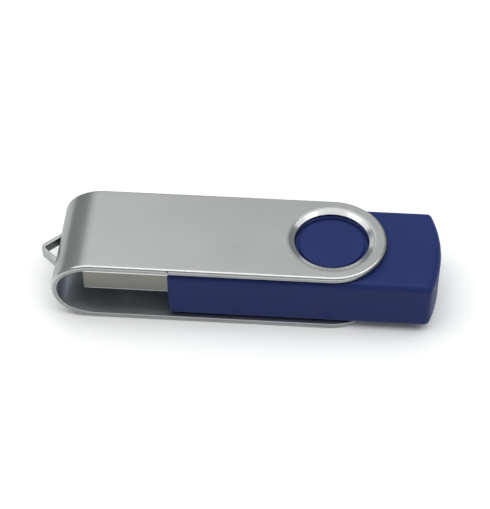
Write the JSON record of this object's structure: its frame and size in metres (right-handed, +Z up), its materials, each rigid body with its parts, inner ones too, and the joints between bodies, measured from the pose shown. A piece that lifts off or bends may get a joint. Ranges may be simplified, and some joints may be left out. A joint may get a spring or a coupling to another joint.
{
  "type": "usb flash drive",
  "caption": "Swivel USB flash drive: a plastic case with a USB-A plug, and a U-bent steel clip with a lanyard loop that turns on the case's bosses to cover or free the plug.",
  "frame": {"origin": "under the middle of the whole drive, on the surface that it lies on, which is the outer face of the clip's lower arm", "axes": "+X along the drive towards the case's rounded end, so the plug and the lanyard loop point along -X; +Z up, along the clip's pivot; +Y across"},
  "size_m": [0.0644, 0.0176, 0.0116],
  "materials": {
    "clip_steel": "satin stainless sheet, finely brushed, with burnished edges and rim",
    "case_plastic": "soft-touch navy blue, matt",
    "plug_nickel": "bright nickel plate over formed steel sheet",
    "block_plastic": "white moulded, semi-matt",
    "contact_gold": "gold plate, polished",
    "board_laminate": "green solder mask, semi-gloss",
    "pad_gold": "gold flash over copper",
    "solder": "bright solder",
    "chip_resin": "black moulding compound, matt",
    "lead_tin": "tin plate, satin",
    "crystal_nickel": "drawn nickel can, bright",
    "base_glass": "dark glass seal",
    "capacitor_ceramic": "tan ceramic, matt",
    "resistor_ceramic": "black overglaze, semi-gloss"
  },
  "bodies": {
    "drive": {"upper_shell": "case_plastic", "lower_shell": "case_plastic", "plug_shell": "plug_nickel", "plug_block": "block_plastic", "contact_power": "contact_gold", "contact_data_minus": "contact_gold", "contact_data_plus": "contact_gold", "contact_ground": "contact_gold", "circuit_board": "board_laminate", "board_pads": "pad_gold", "contact_solder": "solder", "tab_solder": "solder", "controller_chip": "chip_resin", "controller_leads": "lead_tin", "flash_chip": "chip_resin", "flash_leads": "lead_tin", "crystal_can": "crystal_nickel", "crystal_base": "base_glass", "crystal_pins": "lead_tin", "capacitor_bodies": "capacitor_ceramic", "capacitor_ends": "lead_tin", "resistor_bodies": "resistor_ceramic", "resistor_ends": "lead_tin"},
    "clip": {"swivel_clip": "clip_steel"}
  },
  "joints": [
    {"name": "clip_swivel", "type": "hinge", "parent": "drive", "child": "clip", "pos_m": [0.01475, 0, 0.0058], "axis": [0, 0, 1], "continuous": true}
  ]
}
